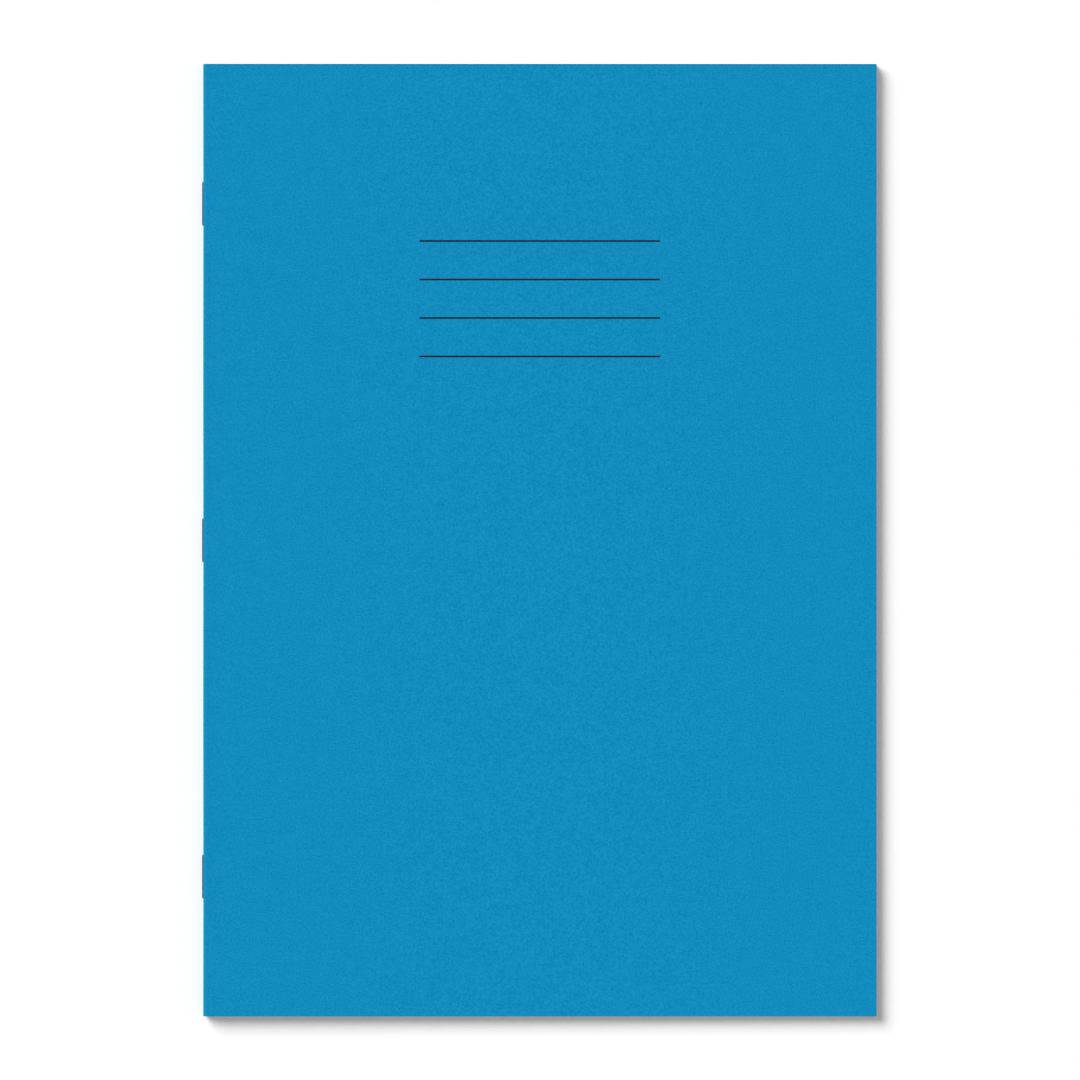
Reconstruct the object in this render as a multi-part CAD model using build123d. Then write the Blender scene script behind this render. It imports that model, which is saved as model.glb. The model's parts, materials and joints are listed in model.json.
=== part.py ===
from build123d import *
from math import atan, cos, degrees, sin
import os

# A stapled exercise book, closed and lying on its back cover. All sizes are in millimetres.
# X runs from the spine to the fore-edge, Y from the tail to the head and Z up through the leaves.
# The origin is under the middle of the book, on the surface that it lies on.

# Trimmed size of the closed book
BOOK_WIDTH = 210.0  # from the nose of the spine to the fore-edge
BOOK_HEIGHT = 297.0  # from tail to head

# Paper and card
SHEET_COUNT = 16  # folded sheets, each with a leaf in the front half and one in the rear half
PAPER = 0.10
CARD = 0.30
AIR = 0.01  # film of air between one layer and the next

# Wire stitches
STITCHES = {"staple_top": 1, "staple_middle": 0, "staple_bottom": -1}  # steps from mid-height
STITCH_INSET = 43.5  # from the head and the tail to the middle of the stitch nearest to them
CROWN_LENGTH = 14.0  # over the outside of both legs
WIRE = 0.55
WIRE_SIDES = 8  # flats that stand for the round of the wire
WIRE_BEND = 0.32  # radius of each bend, to the middle of the wire
CROWN_BITE = 0.10  # how deep the crown is pressed into the card
CLINCH_OFFSET = 0.055  # from the spine axis to the middle of the clinched legs
CLINCH_GAP = 2.0  # between the tips of the two clinched legs
WIRE_CLEARANCE = 0.02  # on each side of the wire, in the slots that it pierces
CREASE_CLEARANCE = 0.10  # from the side of the wire to the flat leaves, with the book wide open

# Every fold is a half pipe about one axis, so that the leaves turn inside each other
LAYER = PAPER + AIR
CORE_RADIUS = CLINCH_OFFSET + WIRE / 2 + WIRE_CLEARANCE  # hollow of the innermost fold
COVER_RADIUS = CORE_RADIUS + SHEET_COUNT * LAYER  # hollow of the cover's fold
NOSE_RADIUS = COVER_RADIUS + CARD  # outside of the spine

# Places
CROWN_PROUD = WIRE - CROWN_BITE
FORE_EDGE_X = (BOOK_WIDTH + CROWN_PROUD) / 2
AXIS_X = FORE_EDGE_X - BOOK_WIDTH + NOSE_RADIUS
AXIS_Z = NOSE_RADIUS
CREASE = WIRE / 2 + CREASE_CLEARANCE  # from the spine axis to where a fold ends and a flat begins
STITCH_STEP = BOOK_HEIGHT / 2 - STITCH_INSET  # from one stitch to the next

# The clinched wire holds the two halves apart at the spine, and they close up at the fore-edge
LEAN = atan((2 * CORE_RADIUS - AIR) / (FORE_EDGE_X - AXIS_X))  # of the front half, in radians


def fold_radius(number):
    """Inside radius of a sheet's fold. Sheet 1 is the outermost."""
    return CORE_RADIUS + (SHEET_COUNT - number) * LAYER


def front_point(along, off):
    """A point of the leaning front half, seen along the spine axis and measured from it."""
    return (along * cos(LEAN) + off * sin(LEAN), off * cos(LEAN) - along * sin(LEAN))


def folded_strip(inside, thickness):
    """The bent middle of a folded sheet or card, with a short flat lip on each side of the bend."""
    outside = inside + thickness
    front_lip = [front_point(CREASE, outside), front_point(CREASE, inside)]
    bend_start = [front_point(0, outside), front_point(0, inside)]
    section = make_face(
        [
            Line(front_lip[0], bend_start[0]),
            ThreePointArc(bend_start[0], (-outside, 0), (0, -outside)),
            Polyline((0, -outside), (CREASE, -outside), (CREASE, -inside), (0, -inside)),
            ThreePointArc((0, -inside), (-inside, 0), bend_start[1]),
            Polyline(bend_start[1], front_lip[1], front_lip[0]),
        ]
    )
    across_spine = Plane(origin=(AXIS_X, 0, AXIS_Z), x_dir=(1, 0, 0), z_dir=(0, -1, 0))
    return extrude(across_spine * section, BOOK_HEIGHT / 2, both=True)


def flat_panel(bottom, thickness):
    """A flat leaf or cover panel, measured from the spine axis, from its crease to the fore-edge."""
    width = FORE_EDGE_X - AXIS_X - CREASE
    from_crease_up = (Align.MIN, Align.CENTER, Align.MIN)
    return Pos(CREASE, 0, bottom) * Box(width, BOOK_HEIGHT, thickness, align=from_crease_up)


def front_panel(inside, thickness):
    """The flat above a fold of that inside radius, leaning with the front half."""
    return Pos(AXIS_X, 0, AXIS_Z) * Rot(0, degrees(LEAN), 0) * flat_panel(inside, thickness)


def rear_panel(inside, thickness):
    """The flat below a fold of that inside radius."""
    return Pos(AXIS_X, 0, AXIS_Z) * flat_panel(-inside - thickness, thickness)


def stitch_corners(middle_y):
    """Where a stitch turns: tip, clinch, crown, crown, clinch and tip of the wire's middle line."""
    crown_x = AXIS_X - NOSE_RADIUS + CROWN_BITE - WIRE / 2
    clinch_x = AXIS_X - CLINCH_OFFSET
    leg = (CROWN_LENGTH - WIRE) / 2
    tip = CLINCH_GAP / 2
    one_end = [(clinch_x, tip), (clinch_x, leg), (crown_x, leg)]
    other_end = [(x, -y) for x, y in reversed(one_end)]
    return [Vector(x, middle_y + y, AXIS_Z) for x, y in one_end + other_end]


def start_of(path):
    """The plane square to the start of a wire's path."""
    return Plane(origin=path @ 0, x_dir=(0, 0, 1), z_dir=path % 0)


def staple(corners):
    """A stitch: crown outside the spine, legs through every fold, ends clinched towards each other."""
    path = FilletPolyline(*corners, radius=WIRE_BEND)
    return sweep(start_of(path) * RegularPolygon(WIRE / 2, WIRE_SIDES), path)


def pierced_runs(corners):
    """The square slots that a stitch cuts in the paper and card: two for its legs, one for its crown."""
    slot = WIRE + 2 * WIRE_CLEARANCE
    runs = [Line(corners[turn], corners[turn + 1]) for turn in (1, 2, 3)]
    return [extrude(start_of(run) * Rectangle(slot, slot), run.length) for run in runs]


# Stitches, and the slots that they pierce
stitches = {name: stitch_corners(step * STITCH_STEP) for name, step in STITCHES.items()}
pierced = [slot for corners in stitches.values() for slot in pierced_runs(corners)]

# Cover: one card, folded round the sheets
nodes = {
    "front_cover": front_panel(COVER_RADIUS, CARD),
    "cover_spine": folded_strip(COVER_RADIUS, CARD) - pierced,
    "back_cover": rear_panel(COVER_RADIUS, CARD),
}

# Sheets, nested in the cover and in each other
for number in range(1, SHEET_COUNT + 1):
    inside = fold_radius(number)
    nodes[f"sheet_{number:02d}_front_leaf"] = front_panel(inside, PAPER)
    nodes[f"sheet_{number:02d}_fold"] = folded_strip(inside, PAPER) - pierced
    nodes[f"sheet_{number:02d}_rear_leaf"] = rear_panel(inside, PAPER)

for name, corners in stitches.items():
    nodes[name] = staple(corners)

os.makedirs("parts", exist_ok=True)
for name, solid in nodes.items():
    solid.label = name
    export_step(solid, f"parts/{name}.step")
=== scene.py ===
import json
from math import asin, ceil, cos, pi, radians, sin

import bmesh
import bpy
import numpy as np
from mathutils import Matrix, Vector


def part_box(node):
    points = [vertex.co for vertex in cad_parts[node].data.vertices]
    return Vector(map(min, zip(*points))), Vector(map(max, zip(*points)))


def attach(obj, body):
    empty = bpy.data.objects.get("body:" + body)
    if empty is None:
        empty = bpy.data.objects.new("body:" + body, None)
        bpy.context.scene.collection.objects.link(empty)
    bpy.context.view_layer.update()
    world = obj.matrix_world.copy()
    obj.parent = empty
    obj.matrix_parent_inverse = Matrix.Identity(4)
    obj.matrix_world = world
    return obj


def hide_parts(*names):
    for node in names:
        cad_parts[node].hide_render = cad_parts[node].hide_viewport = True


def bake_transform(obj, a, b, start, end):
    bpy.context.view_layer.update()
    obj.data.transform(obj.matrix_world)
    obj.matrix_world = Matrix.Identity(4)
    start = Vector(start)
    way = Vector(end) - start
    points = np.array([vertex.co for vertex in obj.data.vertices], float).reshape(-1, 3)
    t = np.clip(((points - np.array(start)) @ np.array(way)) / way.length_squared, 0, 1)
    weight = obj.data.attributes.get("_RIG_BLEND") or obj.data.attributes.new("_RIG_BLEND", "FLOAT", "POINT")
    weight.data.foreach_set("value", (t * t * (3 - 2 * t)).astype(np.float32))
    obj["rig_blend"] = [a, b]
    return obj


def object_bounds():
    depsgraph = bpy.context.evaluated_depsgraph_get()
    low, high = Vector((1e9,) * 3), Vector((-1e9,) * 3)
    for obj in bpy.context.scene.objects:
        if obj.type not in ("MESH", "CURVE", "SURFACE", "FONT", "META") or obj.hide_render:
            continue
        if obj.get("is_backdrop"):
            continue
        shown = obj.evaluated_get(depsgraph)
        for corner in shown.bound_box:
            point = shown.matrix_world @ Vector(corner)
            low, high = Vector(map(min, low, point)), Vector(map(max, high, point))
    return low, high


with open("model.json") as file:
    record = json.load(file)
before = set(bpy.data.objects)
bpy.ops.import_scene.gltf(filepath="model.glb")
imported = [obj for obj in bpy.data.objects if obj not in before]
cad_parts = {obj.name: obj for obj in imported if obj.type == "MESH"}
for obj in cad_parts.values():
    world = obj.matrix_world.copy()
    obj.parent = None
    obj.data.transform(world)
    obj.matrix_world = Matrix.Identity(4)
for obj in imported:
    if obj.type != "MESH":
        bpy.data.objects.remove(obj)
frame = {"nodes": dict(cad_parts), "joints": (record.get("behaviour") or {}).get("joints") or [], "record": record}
cad_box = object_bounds()

# Looks of a stapled exercise book: the folded card cover with its printed label lines, the ruled sheets
# nested in it and the three wire stitches. All sizes are in metres. X runs from the spine to the
# fore-edge, Y from the tail to the head and Z up.

MM = 0.001

# Print on the front cover
LABEL_LINES = 4
LABEL_LENGTH = 75 * MM
LABEL_PITCH = 12 * MM
LABEL_DROP = 55.25 * MM  # from the head to the first line
LABEL_WEIGHT = 0.56 * MM

# Feint ruling of the pages, with a margin at the left of each page
RULE_COUNT = 32
RULE_PITCH = 8 * MM
RULE_DROP = 32 * MM  # from the head to the first rule
RULE_WEIGHT = 0.22 * MM
MARGIN = 30 * MM  # from the left of the page to the margin line
MARGIN_WEIGHT = 0.28 * MM

# Paper is never quite flat, and never trimmed quite flush
SWELL = 0.9  # share that the leaves fill of the hollow that the clinched wire holds open
LOOP = 3 * MM  # how far from the fold the leaves have mostly closed up
SWELL_WAVE = 230 * MM  # length of the waves that the leaves make from tail to head
SWELL_RIPPLE = 0.15  # height of those waves, as a share of the swell
TRIM_SCATTER = 0.07 * MM
CURL = 45 * MM  # width beside the gutter over which a leaf curves
SEED = 7

# Fold of the cover
SQUARENESS = 2.9  # 2 is a round nose, and more is squarer
FOLD_PAINTED_SHADE = 0.15  # painted shade: how much darker the fold is painted than the flat card
PAINTED_SHADE_ROUND = radians(34)  # angle round the fold over which that starts
BULGE = 0.05 * MM  # of the nose, half way between two stitches
DENT = 0.09 * MM  # in the outside of the card, under a stitch
DENT_WIDTH = 0.5 * MM
DENT_END = 0.8 * MM  # length over which a dent fades

# Wire of the stitches
WIRE_BEND = 0.34 * MM  # radius of each bend, to the middle of the wire
CLINCH_GAP = 2 * MM  # between the tips of the two clinched ends
CLINCH_BOW = 0.10 * MM  # how far a clinched end bows away from the fold
BOWED = 0.8  # share of a clinched end, from its tip, that comes before its bend
TIP_LENGTH = 0.3  # of the eased tip, as a share of the wire's radius
TIP_WIDTH = 0.75  # across the cut, as a share of the wire's width

# Fineness of the meshes
FOLD_STEPS = 16
NOSE_STEPS = 28
FLAT_STEPS = 16
DENT_STEPS = 7
BOW_STEPS = 7
BEND_STEPS = 6
WIRE_SIDES = 16
COVER_ROW = 9 * MM
SHARP_ANGLE = radians(40)  # an edge that turns by more has a hard shade

# Sizes that the frame gives
back_low, back_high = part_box("back_cover")
front_low, front_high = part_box("front_cover")
leaf_low, leaf_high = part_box("sheet_01_rear_leaf")
joints = {joint["name"]: joint for joint in frame["joints"]}
AXIS = Vector(joints["book_open"]["pos_m"])
CARD = back_high.z - back_low.z
PAPER = leaf_high.z - leaf_low.z
TAIL, HEAD = back_low.y, back_high.y
WIDTH = back_high.x - AXIS.x  # from the spine axis to the fore-edge
NOSE = AXIS.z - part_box("cover_spine")[0].z  # outside radius of the cover's fold
LEAN = asin((front_high.z - front_low.z - CARD) / (back_high.x - back_low.x))  # of the closed front half
STITCHES = ["staple_top", "staple_middle", "staple_bottom"]
SHEETS = sum(name.endswith("_fold") for name in frame["nodes"])
couplings = frame["record"]["behaviour"]["couplings"]
# Share of the book's opening that each joint turns
FOLLOWING = {coupling["joint"]: coupling["ratio"] for coupling in couplings}

# Chance, for the rear and the front leaf of each sheet. Sheet 1 is the outermost.
REAR, FRONT = 0, 1
rng = np.random.default_rng(SEED)
gaps = np.cumsum(rng.random((2, SHEETS)) ** 2, axis=1)  # most are narrow and a few are wide
swelling = gaps / gaps[:, -1:]  # share of its half's swell that a leaf has, most at the centre spread
fore_edge_trim = rng.uniform(-TRIM_SCATTER, TRIM_SCATTER, (2, SHEETS))
end_trim = rng.uniform(-TRIM_SCATTER, TRIM_SCATTER, (SHEETS, 2))  # of a sheet's tail and head

OUTSIDE, INSIDE, EDGE = 0, 1, 2  # faces of a thin piece
PAINTED_SHADE_ATTRIBUTE = "fold_painted_shade"  # share of the fold's painted shade, at each point


def on_fold(radius, turn):
    """Place across the spine of a point of a fold: turn 0 is where the rear half starts."""
    return AXIS.x - radius * np.sin(turn), AXIS.z - radius * np.cos(turn)


def on_front(along, off):
    """Place across the spine of a point of the leaning front half."""
    return AXIS.x + along * cos(LEAN) + off * sin(LEAN), AXIS.z + off * cos(LEAN) - along * sin(LEAN)


def on_rear(along, off):
    """Place across the spine of a point of the rear half."""
    return AXIS.x + along, AXIS.z - off


def grid(across, y, raised=0):
    """Points on rows y, where across gives x and z of each column, raised by an amount for each point."""
    x, z = across
    shape = (len(y), np.shape(x)[-1])
    return np.stack([np.broadcast_to(part, shape) for part in (x, y[:, None], z + raised)], -1)


def flat_columns(*extra):
    """Distances from the spine axis to the columns of a flat, closer together towards the spine."""
    even = WIDTH * np.linspace(0, 1, FLAT_STEPS) ** 2
    return np.unique(np.concatenate([even, *[np.atleast_1d(e) for e in extra]]))


def both_sides(middle, weight):
    """The two edges of a line of that weight."""
    return np.array([middle - weight / 2, middle + weight / 2])


def eased(share):
    """A smooth step from 0 to 1."""
    share = np.clip(share, 0, 1)
    return share * share * (3 - 2 * share)


def fold_outside(number):
    """Outside radius of a sheet's fold."""
    return AXIS.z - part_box(f"sheet_{number:02d}_fold")[0].z


def swell(half, number, along, y):
    """How far a leaf swells into the hollow of the closed book, on a grid of rows y and columns along."""
    core = fold_outside(SHEETS) - PAPER
    hollow = np.clip(2 * core - along * sin(LEAN), 0, None)
    across = SWELL / 2 * hollow * (1 - np.exp(-along / LOOP)) * swelling[half][number - 1]
    wave = 1 - SWELL_RIPPLE * (0.5 + 0.5 * np.sin(2 * pi * y / SWELL_WAVE))
    return np.outer(wave, across)


def finish_mesh(name, points, faces, looks, materials):
    """A new object of closed faces, smooth but for its sharp rims."""
    mesh = bpy.data.meshes.new(name)
    mesh.from_pydata(points.tolist(), [], faces)
    for material in materials:
        mesh.materials.append(material)
    mesh.polygons.foreach_set("material_index", looks)
    closed = bmesh.new()
    closed.from_mesh(mesh)
    bmesh.ops.recalc_face_normals(closed, faces=closed.faces)
    closed.to_mesh(mesh)
    closed.free()
    mesh.shade_smooth()
    mesh.set_sharp_from_angle(angle=SHARP_ANGLE)
    piece = bpy.data.objects.new(name, mesh)
    bpy.context.scene.collection.objects.link(piece)
    return piece


def thin_piece(name, outer, inner, materials, paint):
    """A closed sheet between two grids of points. paint gives the look of each square, and of the rim."""
    rows, columns = outer.shape[:2]
    number = np.arange(2 * rows * columns).reshape(2, rows, columns)
    faces, looks = [], []
    for row in range(rows - 1):
        for column in range(columns - 1):
            square = [(row, column), (row, column + 1), (row + 1, column + 1), (row + 1, column)]
            faces.append([int(number[OUTSIDE][corner]) for corner in square])
            looks.append(paint(OUTSIDE, row, column))
            faces.append([int(number[INSIDE][corner]) for corner in reversed(square)])
            looks.append(paint(INSIDE, row, column))
    rim = [(0, column) for column in range(columns)]
    rim += [(row, columns - 1) for row in range(1, rows)]
    rim += [(rows - 1, column) for column in reversed(range(columns - 1))]
    rim += [(row, 0) for row in reversed(range(1, rows - 1))]
    for here, there in zip(rim, rim[1:] + rim[:1]):
        corners = [(OUTSIDE, there), (OUTSIDE, here), (INSIDE, here), (INSIDE, there)]
        faces.append([int(number[side][place]) for side, place in corners])
        looks.append(paint(EDGE, *here))
    points = np.concatenate([outer.reshape(-1, 3), inner.reshape(-1, 3)])
    return finish_mesh(name, points, faces, looks, materials)


def keep_by_column(piece, name, values):
    """Keeps a value for each column of a thin piece, at all its points."""
    attributes = piece.data.attributes
    kept = attributes.get(name) or attributes.new(name, "FLOAT", "POINT")
    every_point = np.tile(values, len(piece.data.vertices) // len(values))
    kept.data.foreach_set("value", every_point.astype(np.float32))


def bend_at_spine(piece, body, shares):
    """Bends a piece between the back cover and a body. Each column has its share of the body's turn."""
    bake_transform(piece, "back_cover", body, start=(AXIS.x, 0, AXIS.z - NOSE), end=(AXIS.x, 0, AXIS.z + NOSE))
    keep_by_column(piece, "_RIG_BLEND", shares)


# Materials

# Each pattern has its waves to the metre, and how strongly it shows
GRAIN, GRAIN_SHOWS = 1900, 0.50
FIBRES, FIBRES_SHOW = 700, 0.07
CARD_CLOUDS, CARD_CLOUDS_SHOW = 90, 0.012
TOOTH, TOOTH_SHOWS = 2600, 0.05
PAPER_CLOUDS, PAPER_CLOUDS_SHOW = 240, 0.05
LEAF_TONES, LEAF_TONES_SHOW = 9000, 0.22
CUT_STREAKS, CUT_STREAKS_SHOW = 1500, 0.12
DRAWING_LINES, DRAWING_LINES_SHOW = 9000, 0.35
ZINC_BLOOM, ZINC_BLOOM_SHOWS = 2500, 0.4

# How a pattern is drawn out: its waves along the grain, beside 1 across it
FIBRE_STRETCH = 0.28
TONE_STRETCH = 0.004
STREAK_STRETCH = 0.06
DRAWING_STRETCH = 0.06

# Roughness, and how much it varies
CARD_ROUGHNESS = (0.86, 0.2)
PAPER_ROUGHNESS = (0.8, 0.15)
WIRE_ROUGHNESS = (0.42, 0.3)
CUT_ROUGHNESS = 0.9

# Height of the relief
CARD_RELIEF = 0.012 * MM
PAPER_RELIEF = 0.006 * MM
WIRE_RELIEF = 0.004 * MM

# Strength of the shine
CARD_SHINE = 0.08
INK_SHINE = 0.25
PAPER_SHINE = 0.2
CUT_SHINE = 0.15

# Colours
CARD_BLUE = (0.0036, 0.254, 0.502)
CUT_BLUE = (0.03, 0.30, 0.545)  # paler, where the cut shows the fibres
PALE_FIBRE = (0.026, 0.25, 0.31)
LABEL_INK = (0.0012, 0.0035, 0.008)
PAGE_WHITE = (0.86, 0.86, 0.83)
CUT_WHITE = (0.76, 0.75, 0.72)
RULE_BLUE = (0.44, 0.52, 0.68)
MARGIN_RED = (0.74, 0.36, 0.40)
PAGE_INK_UNEVENNESS = 3.0  # of the ruling, beside 1 for the bare page
# grey of the zinc, darkened by painted shade for the wire lying in the fold
ZINC_GREY_AND_SHADE = (0.125, 0.148, 0.158)


def new_material(name, **sockets):
    """A material with a Principled shader that has those socket values. Names use _ for a space."""
    material = bpy.data.materials.new(name)
    material.use_nodes = True
    shader = material.node_tree.nodes["Principled BSDF"]
    for socket, value in sockets.items():
        shader.inputs[socket.replace("_", " ")].default_value = value
    return material


def add_node(tree, kind, **settings):
    """A new node with those settings."""
    node = tree.nodes.new(kind)
    for setting, value in settings.items():
        setattr(node, setting, value)
    return node


def noise(tree, scale, detail=2.0, stretch=(1, 1, 1)):
    """A noise pattern in the piece's own coordinates, from -0.5 to 0.5, with scale waves to the metre."""
    places = add_node(tree, "ShaderNodeTexCoord")
    mapping = add_node(tree, "ShaderNodeMapping")
    mapping.inputs["Scale"].default_value = stretch
    texture = add_node(tree, "ShaderNodeTexNoise")
    texture.inputs["Scale"].default_value = scale
    texture.inputs["Detail"].default_value = detail
    centred = add_node(tree, "ShaderNodeMath", operation="SUBTRACT")
    centred.inputs[1].default_value = 0.5
    tree.links.new(places.outputs["Object"], mapping.inputs["Vector"])
    tree.links.new(mapping.outputs["Vector"], texture.inputs["Vector"])
    tree.links.new(texture.outputs["Fac"], centred.inputs[0])
    return centred.outputs["Value"]


def summed(tree, start, patterns):
    """start plus each pattern times its amount."""
    total = start
    for pattern, amount in patterns:
        step = add_node(tree, "ShaderNodeMath", operation="MULTIPLY_ADD")
        step.inputs[1].default_value = amount
        tree.links.new(pattern, step.inputs[0])
        if isinstance(total, float):
            step.inputs[2].default_value = total
        else:
            tree.links.new(total, step.inputs[2])
        total = step.outputs["Value"]
    return total


def mottle(material, colour, patterns, roughness=None, bump=None, fleck=None, painted_shade=None):
    """Varies a material by patterns, each with its amount. fleck is the colour that they add."""
    tree = material.node_tree
    shader = tree.nodes["Principled BSDF"]
    tint = add_node(tree, "ShaderNodeVectorMath", operation="MULTIPLY_ADD")
    tint.inputs[1].default_value = fleck or colour
    tint.inputs[2].default_value = colour
    tree.links.new(summed(tree, 0.0, patterns), tint.inputs[0])
    final = tint.outputs["Vector"]
    # painted shade: the colour is scaled down by the given share
    if painted_shade:
        shaded_colour = add_node(tree, "ShaderNodeVectorMath", operation="SCALE")
        tree.links.new(final, shaded_colour.inputs[0])
        tree.links.new(summed(tree, 1.0, [painted_shade]), shaded_colour.inputs["Scale"])
        final = shaded_colour.outputs["Vector"]
    tree.links.new(final, shader.inputs["Base Color"])
    if roughness:
        (level, amount), pattern = roughness
        tree.links.new(summed(tree, level, [(pattern, amount)]), shader.inputs["Roughness"])
    if bump:
        pattern, depth = bump
        relief = add_node(tree, "ShaderNodeBump")
        relief.inputs["Distance"].default_value = depth
        tree.links.new(pattern, relief.inputs["Height"])
        tree.links.new(relief.outputs["Normal"], shader.inputs["Normal"])
    return material


def card_like(name, colour, fleck, shine=CARD_SHINE):
    """Dyed card: fine grain, short pale fibres and faint clouds, and painted shade on its fold."""
    material = new_material(name, Specular_IOR_Level=shine)
    tree = material.node_tree
    grain = noise(tree, GRAIN, detail=1.0)
    fibres = noise(tree, FIBRES, stretch=(1, FIBRE_STRETCH, 1))
    cross_fibres = noise(tree, FIBRES, stretch=(FIBRE_STRETCH, 1, 1))
    clouds = noise(tree, CARD_CLOUDS, detail=3.0)
    # painted shade on the fold, by the share kept at each point
    painted_shade_share = add_node(tree, "ShaderNodeAttribute", attribute_name=PAINTED_SHADE_ATTRIBUTE)
    patterns = [
        (grain, GRAIN_SHOWS),
        (fibres, FIBRES_SHOW),
        (cross_fibres, FIBRES_SHOW),
        (clouds, CARD_CLOUDS_SHOW),
    ]
    return mottle(
        material,
        colour,
        patterns,
        roughness=(CARD_ROUGHNESS, fibres),
        bump=(grain, CARD_RELIEF),
        fleck=fleck,
        painted_shade=(painted_shade_share.outputs["Fac"], -FOLD_PAINTED_SHADE),
    )


def paper_like(name, colour, unevenness=1.0):
    """Writing paper: soft clouds of fibre and a fine tooth."""
    material = new_material(name, Specular_IOR_Level=PAPER_SHINE)
    tree = material.node_tree
    tooth = noise(tree, TOOTH, detail=1.0)
    clouds = noise(tree, PAPER_CLOUDS, detail=4.0)
    patterns = [(clouds, PAPER_CLOUDS_SHOW * unevenness), (tooth, TOOTH_SHOWS * unevenness)]
    roughness = (PAPER_ROUGHNESS, clouds)
    return mottle(material, colour, patterns, roughness, bump=(tooth, PAPER_RELIEF))


def trimmed_paper():
    """The cut edge of a leaf, a little darker and streaked along the cut, with a tone of its own."""
    material = new_material("trimmed_paper_edge", Specular_IOR_Level=CUT_SHINE, Roughness=CUT_ROUGHNESS)
    tree = material.node_tree
    tones = noise(tree, LEAF_TONES, detail=0.0, stretch=(TONE_STRETCH, TONE_STRETCH, 1))
    streaks = noise(tree, CUT_STREAKS, stretch=(STREAK_STRETCH, STREAK_STRETCH, 1))
    return mottle(material, CUT_WHITE, [(tones, LEAF_TONES_SHOW), (streaks, CUT_STREAKS_SHOW)])


def drawn_wire():
    """Zinc-coated steel, its grey darkened by painted shade, with fine drawing lines along the wire."""
    material = new_material("zinc_coated_wire", Metallic=1.0)
    tree = material.node_tree
    drawing = noise(tree, DRAWING_LINES, detail=1.0, stretch=(1, DRAWING_STRETCH, 1))
    zinc = noise(tree, ZINC_BLOOM)
    patterns = [(drawing, DRAWING_LINES_SHOW), (zinc, ZINC_BLOOM_SHOWS)]
    roughness = (WIRE_ROUGHNESS, drawing)
    return mottle(material, ZINC_GREY_AND_SHADE, patterns, roughness, bump=(drawing, WIRE_RELIEF))


card_faces = card_like("blue_card", CARD_BLUE, PALE_FIBRE)
card_rim = card_like("blue_card_cut_edge", CUT_BLUE, PALE_FIBRE)
label_ink = card_like("label_ink", LABEL_INK, LABEL_INK, shine=INK_SHINE)
cover_materials = [card_faces, card_rim, label_ink]

page_faces = paper_like("white_page", PAGE_WHITE)
page_rim = trimmed_paper()
rule_ink = paper_like("feint_rule", RULE_BLUE, PAGE_INK_UNEVENNESS)
margin_ink = paper_like("margin_rule", MARGIN_RED, PAGE_INK_UNEVENNESS)
page_materials = [page_faces, page_rim, rule_ink, margin_ink]

# Places of the looks in those two lists
FACE, RIM = 0, 1
PRINT = 2
RULE, MARGIN_LINE = 2, 3


# Cover: one card, folded round the sheets


def squared(turn):
    """How much further out than a round nose the card runs, at an angle round its fold."""
    share = turn / (pi + LEAN) * pi
    powers = np.abs(np.sin(share)) ** SQUARENESS + np.abs(np.cos(share)) ** SQUARENESS
    return powers ** (-1 / SQUARENESS)


def stitch_places():
    """Lowest and highest place along the spine of each stitch's crown."""
    return [(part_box(name)[0].y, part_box(name)[1].y) for name in STITCHES]


def bulges(turn, y):
    """How far the fold stands out between the stitches, on rows y and columns turn."""
    middles = np.array([(low + high) / 2 for low, high in stitch_places()])
    step = middles.max() / (len(middles) // 2)
    return np.outer(BULGE * np.sin(pi * y / step) ** 2, np.sin(turn) ** 2)


def dents(turn, y):
    """How deep the stitches press into the outside of the card, on rows y and columns turn."""
    across = np.exp(-(((turn - pi / 2) * NOSE / DENT_WIDTH) ** 2))
    pressed = np.zeros(len(y))
    for low, high in stitch_places():
        pressed += eased((y - low + DENT_END) / DENT_END) * eased((high + DENT_END - y) / DENT_END)
    return DENT * np.outer(pressed, across)


def cover_rows(*extra):
    """Rows along the spine at an even step, and any extra ones."""
    even = np.linspace(TAIL, HEAD, ceil((HEAD - TAIL) / COVER_ROW) + 1)
    return np.unique(np.concatenate([even, *extra]))


def dent_rows():
    """Close rows at the ends of each stitch's crown, where its dent fades."""
    fade = np.linspace(-1, 1, DENT_STEPS) * DENT_END
    return [end + fade for place in stitch_places() for end in place]


def back_and_spine():
    """Back panel and folded nose, up to the crease where the front panel turns."""
    y = cover_rows(*dent_rows())
    along = flat_columns()[:0:-1]  # from the fore-edge in, up to where the fold starts
    turn = np.linspace(0, pi + LEAN, NOSE_STEPS)
    flats = [grid(on_rear(along, off), y) for off in (NOSE, NOSE - CARD)]
    inside = (NOSE - CARD) * squared(turn) + bulges(turn, y)
    outside = NOSE * squared(turn) + bulges(turn, y) - dents(turn, y)
    noses = [grid(on_fold(radius, turn), y) for radius in (outside, inside)]
    outer, inner = (np.concatenate([flat, nose], axis=1) for flat, nose in zip(flats, noses))
    crease = outer.shape[1] - 1
    head_row = len(y) - 1

    # The card goes on past the crease, so its rim there isn't a cut edge
    def paint(side, row, column):
        at_crease = column == crease and row != head_row
        return RIM if side == EDGE and not at_crease else FACE

    piece = thin_piece("cover_back_and_spine", outer, inner, cover_materials, paint)
    on_flat = np.zeros(len(along))
    bend_at_spine(piece, "front_leaf_01", np.concatenate([on_flat, turn / turn[-1]]))
    # painted shade along the fold, eased in from each flat
    from_flat = np.minimum(turn, turn[-1] - turn)
    keep_by_column(piece, PAINTED_SHADE_ATTRIBUTE, np.concatenate([on_flat, eased(from_flat / PAINTED_SHADE_ROUND)]))
    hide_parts("back_cover", "cover_spine")


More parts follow.
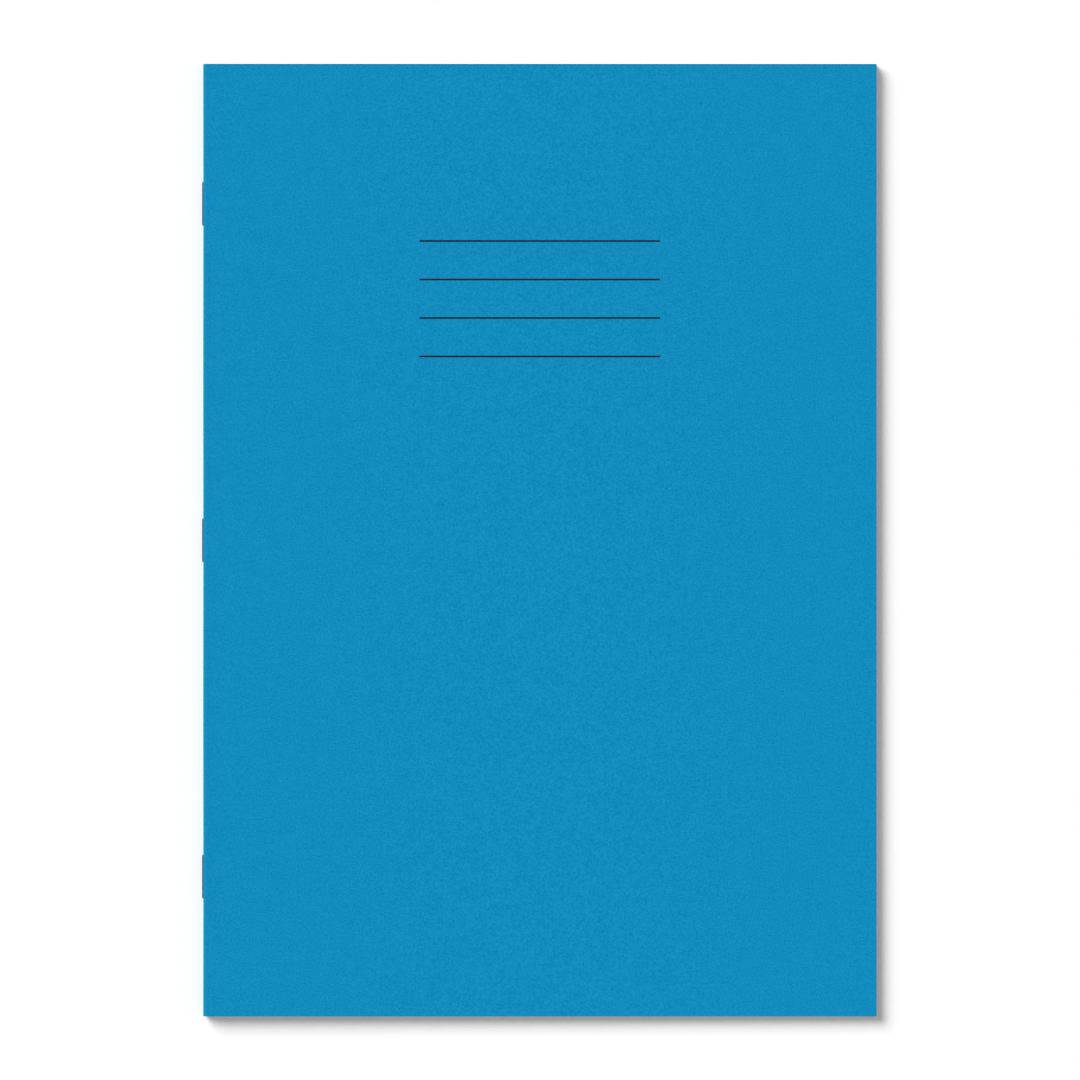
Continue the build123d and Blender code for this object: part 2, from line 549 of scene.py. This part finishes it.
def front_panel():
    """Front panel with its printed label lines."""
    middle = (AXIS.x - NOSE + back_high.x) / 2 - AXIS.x
    line_ends = both_sides(middle, LABEL_LENGTH)
    drops = [LABEL_DROP + number * LABEL_PITCH for number in range(LABEL_LINES)]
    lines = [both_sides(HEAD - drop, LABEL_WEIGHT) for drop in drops]
    y = cover_rows(*lines)
    along = flat_columns(line_ends)
    outer = grid(on_front(along, NOSE), y)
    inner = grid(on_front(along, NOSE - CARD), y)
    printed_columns = (along >= line_ends[0]) & (along < line_ends[1])
    printed_rows = np.isin(y, [edges[0] for edges in lines])

    def paint(side, row, column):
        if side == EDGE:
            at_crease = column == 0 and row > 0
            return FACE if at_crease else RIM
        return PRINT if side == OUTSIDE and printed_rows[row] and printed_columns[column] else FACE

    piece = thin_piece("cover_front", outer, inner, cover_materials, paint)
    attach(piece, "front_cover")
    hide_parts("front_cover")


back_and_spine()
front_panel()


# Sheets: each is folded once, with a leaf in each half


def page_rows(number):
    """Rows of a sheet, with the edges of each feint rule, and which of them start a rule."""
    rules = np.array([HEAD - RULE_DROP - line * RULE_PITCH for line in range(RULE_COUNT)])
    starts = rules - RULE_WEIGHT / 2
    blank_head = np.arange(HEAD - RULE_DROP + RULE_PITCH, HEAD - RULE_PITCH / 2, RULE_PITCH)
    ends = np.array([TAIL, HEAD]) + end_trim[number - 1]
    y = np.unique(np.concatenate([starts, starts + RULE_WEIGHT, blank_head, ends]))
    return y, np.isin(y, starts)


def page_columns(half, number):
    """Columns of a leaf, and which of them start the margin line of its upper and of its under page."""
    recto = both_sides(MARGIN, MARGIN_WEIGHT)
    verso = both_sides(WIDTH - MARGIN, MARGIN_WEIGHT)
    along = flat_columns(recto, verso)
    starts = (np.isin(along, recto[0]), np.isin(along, verso[0]))
    along[-1] += fore_edge_trim[half][number - 1]
    return along, starts


def page_paint(rule_rows, outside_margin, inside_margin):
    """The look of each square of a leaf."""
    margins = {OUTSIDE: outside_margin, INSIDE: inside_margin}

    def paint(side, row, column):
        if side == EDGE:
            return RIM
        if margins[side][column]:
            return MARGIN_LINE
        return RULE if rule_rows[row] else FACE

    return paint


def front_leaf(number):
    """The front half of a sheet, with the fold that joins it to the rear half."""
    outside = fold_outside(number)
    y, rule_rows = page_rows(number)
    along, (recto, verso) = page_columns(FRONT, number)
    turn = np.linspace(0, pi + LEAN, FOLD_STEPS)[:-1]
    raised = -swell(FRONT, number, along, y)
    faces = []
    for radius in (outside, outside - PAPER):
        fold = grid(on_fold(radius, turn), y)
        faces.append(np.concatenate([fold, grid(on_front(along, radius), y, raised)], axis=1))
    on_the_fold = np.zeros(len(turn), bool)
    margins = [np.concatenate([on_the_fold, starts]) for starts in (recto, verso)]
    name = f"sheet_{number:02d}_front"
    piece = thin_piece(name, *faces, page_materials, page_paint(rule_rows, *margins))
    body = f"front_leaf_{number:02d}"
    at_gutter = 1 / FOLLOWING.get(body + "_turn", 1.0)
    on_flat = at_gutter + (1 - at_gutter) * eased(along / CURL)
    bend_at_spine(piece, body, np.concatenate([at_gutter * turn / (pi + LEAN), on_flat]))
    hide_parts(f"sheet_{number:02d}_front_leaf", f"sheet_{number:02d}_fold")


def rear_leaf(number):
    """The rear half of a sheet."""
    outside = fold_outside(number)
    y, rule_rows = page_rows(number)
    along, (recto, verso) = page_columns(REAR, number)
    raised = swell(REAR, number, along, y)
    faces = [grid(on_rear(along, radius), y, raised) for radius in (outside, outside - PAPER)]
    name = f"sheet_{number:02d}_rear"
    piece = thin_piece(name, *faces, page_materials, page_paint(rule_rows, verso, recto))
    bend_at_spine(piece, f"rear_leaf_{number:02d}", eased(along / CURL))
    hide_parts(f"sheet_{number:02d}_rear_leaf")


for sheet in range(1, SHEETS + 1):
    front_leaf(sheet)
    rear_leaf(sheet)


# Stitches


def rounded(before, corner, after):
    """Points of the bend at a corner of a wire."""
    back = (before - corner).normalized()
    ahead = (after - corner).normalized()
    half = back.angle(ahead) / 2
    middle = corner + (back + ahead).normalized() * WIRE_BEND / sin(half)
    ends = [corner + way * WIRE_BEND * cos(half) / sin(half) for way in (back, ahead)]
    start, end = (point - middle for point in ends)
    return [middle + WIRE_BEND * start.slerp(end, step / BEND_STEPS) for step in range(BEND_STEPS + 1)]


def wire_path(low, high):
    """Middle line of a stitch, from one clinched tip over its crown to the other, and its radius."""
    wire = high.z - low.z
    middle = (low.y + high.y) / 2
    leg = (high.y - low.y - wire) / 2
    tip = CLINCH_GAP / 2
    crown_x = low.x + wire / 2
    clinch_x = high.x - wire / 2

    def place(x, y):
        return Vector((x, middle + y, AXIS.z))

    half = []
    for share in np.linspace(0, BOWED, BOW_STEPS):
        half.append(place(clinch_x + CLINCH_BOW * sin(pi * share), tip + share * (leg - tip)))
    clinch = place(clinch_x, leg)
    crown = place(crown_x, leg)
    half += rounded(half[-1], clinch, crown)
    half += rounded(clinch, crown, place(crown_x, -leg))
    other = [Vector((point.x, 2 * middle - point.y, point.z)) for point in reversed(half)]
    return half + other, wire / 2


def wire_piece(name):
    """A stitch as smooth round wire, with its tips cut and slightly rounded."""
    path, radius = wire_path(*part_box(name))
    up = Vector((0, 0, 1))
    angles = np.linspace(0, 2 * pi, WIRE_SIDES, endpoint=False)
    rings = []
    for at, point in enumerate(path):
        ahead = (path[min(at + 1, len(path) - 1)] - path[max(at - 1, 0)]).normalized()
        side = ahead.cross(up)
        rings.append([point + radius * (cos(a) * up + sin(a) * side) for a in angles])
    tips = []
    for end, before in ((0, 1), (-1, -2)):
        beyond = (path[end] - path[before]).normalized() * radius * TIP_LENGTH
        tips.append([path[end] + (corner - path[end]) * TIP_WIDTH + beyond for corner in rings[end]])
    rings = [tips[0], *rings, tips[1]]
    points = np.array([corner for ring in rings for corner in ring])
    faces = []
    for ring in range(len(rings) - 1):
        for side in range(WIRE_SIDES):
            beside = (side + 1) % WIRE_SIDES
            first, second = ring * WIRE_SIDES, (ring + 1) * WIRE_SIDES
            faces.append([first + side, first + beside, second + beside, second + side])
    faces.append(list(range(WIRE_SIDES)))
    faces.append(list(range(len(points) - WIRE_SIDES, len(points))))
    piece = finish_mesh(name + "_wire", points, faces, [0] * len(faces), [wire_look])
    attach(piece, "spine")
    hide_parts(name)


wire_look = drawn_wire()
for stitch in STITCHES:
    wire_piece(stitch)


# Floor, light and camera

WHITE = (1, 1, 1, 1)
FLOOR_SIZE = 30.0
FLOOR_DROP = 0.02 * MM  # below the back cover
SKY = 0.35  # light from all round, beside 1 for all the light on a level surface
SUN = 3.17  # watts to the square metre, square to the light
SUN_TILT = radians(49)  # from overhead
SUN_TURN = radians(42.5)  # in plan, from the spine's side towards the head
SUN_WIDTH = radians(37)  # angle that the light fills, as seen from the book
FRAME_WIDTH = 336.66 * MM  # across the picture, at the front cover
PICTURE_CENTRE = Vector((0.28, 0.03)) * MM  # from the middle of the book
LENS, SENSOR = 200.0, 36.0  # focal length and picture width in the camera, in millimetres


def seen_rays(tree):
    """1 for rays from the camera, and for reflected and refracted ones, which show the same white."""
    path = add_node(tree, "ShaderNodeLightPath")
    total = path.outputs["Is Camera Ray"]
    for kind in ("Is Glossy Ray", "Is Transmission Ray"):
        either = add_node(tree, "ShaderNodeMath", operation="MAXIMUM")
        tree.links.new(total, either.inputs[0])
        tree.links.new(path.outputs[kind], either.inputs[1])
        total = either.outputs["Value"]
    return total


def pale_floor():
    """A white floor that keeps the book's shadow."""
    bpy.ops.mesh.primitive_plane_add(size=FLOOR_SIZE, location=(0, 0, -FLOOR_DROP))
    floor = bpy.context.object
    floor.name = "floor"
    material = bpy.data.materials.new("white_floor")
    material.use_nodes = True
    tree = material.node_tree
    tree.nodes.clear()
    matt = add_node(tree, "ShaderNodeBsdfDiffuse")
    matt.inputs["Color"].default_value = WHITE
    output = add_node(tree, "ShaderNodeOutputMaterial")
    tree.links.new(matt.outputs["BSDF"], output.inputs["Surface"])
    floor.data.materials.append(material)
    floor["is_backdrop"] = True


def soft_sky():
    """Even light from all round, seen as white."""
    world = bpy.data.worlds.new("studio")
    world.use_nodes = True
    tree = world.node_tree
    background = tree.nodes["Background"]
    background.inputs["Color"].default_value = WHITE
    strength = add_node(tree, "ShaderNodeMapRange")
    strength.inputs["To Min"].default_value = SKY
    tree.links.new(seen_rays(tree), strength.inputs["Value"])
    tree.links.new(strength.outputs["Result"], background.inputs["Strength"])
    bpy.context.scene.world = world


def key_light():
    """A broad soft light from above the spine and the head."""
    lamp = bpy.data.lights.new("key_light", "SUN")
    lamp.energy = SUN
    lamp.angle = SUN_WIDTH
    light = bpy.data.objects.new("key_light", lamp)
    in_plan = Vector((-cos(SUN_TURN), sin(SUN_TURN), 0)) * sin(SUN_TILT)
    towards = in_plan + Vector((0, 0, cos(SUN_TILT)))
    light.rotation_mode = "QUATERNION"
    light.rotation_quaternion = towards.to_track_quat("Z", "Y")
    bpy.context.scene.collection.objects.link(light)


def overhead_camera():
    """A camera square above the front cover, with a long lens."""
    lens = bpy.data.cameras.new("camera")
    lens.lens = LENS
    lens.sensor_width = SENSOR
    camera = bpy.data.objects.new("camera", lens)
    height = cad_box[1].z + FRAME_WIDTH * LENS / SENSOR
    camera.matrix_world = Matrix.Translation((PICTURE_CENTRE.x, PICTURE_CENTRE.y, height))
    bpy.context.scene.collection.objects.link(camera)
    bpy.context.scene.camera = camera


pale_floor()
soft_sky()
key_light()
overhead_camera()
bpy.context.scene.view_settings.view_transform = "Standard"

boxes = {"cad": cad_box, "visual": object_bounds()}
{name: [list(corner) for corner in box] for name, box in boxes.items()}
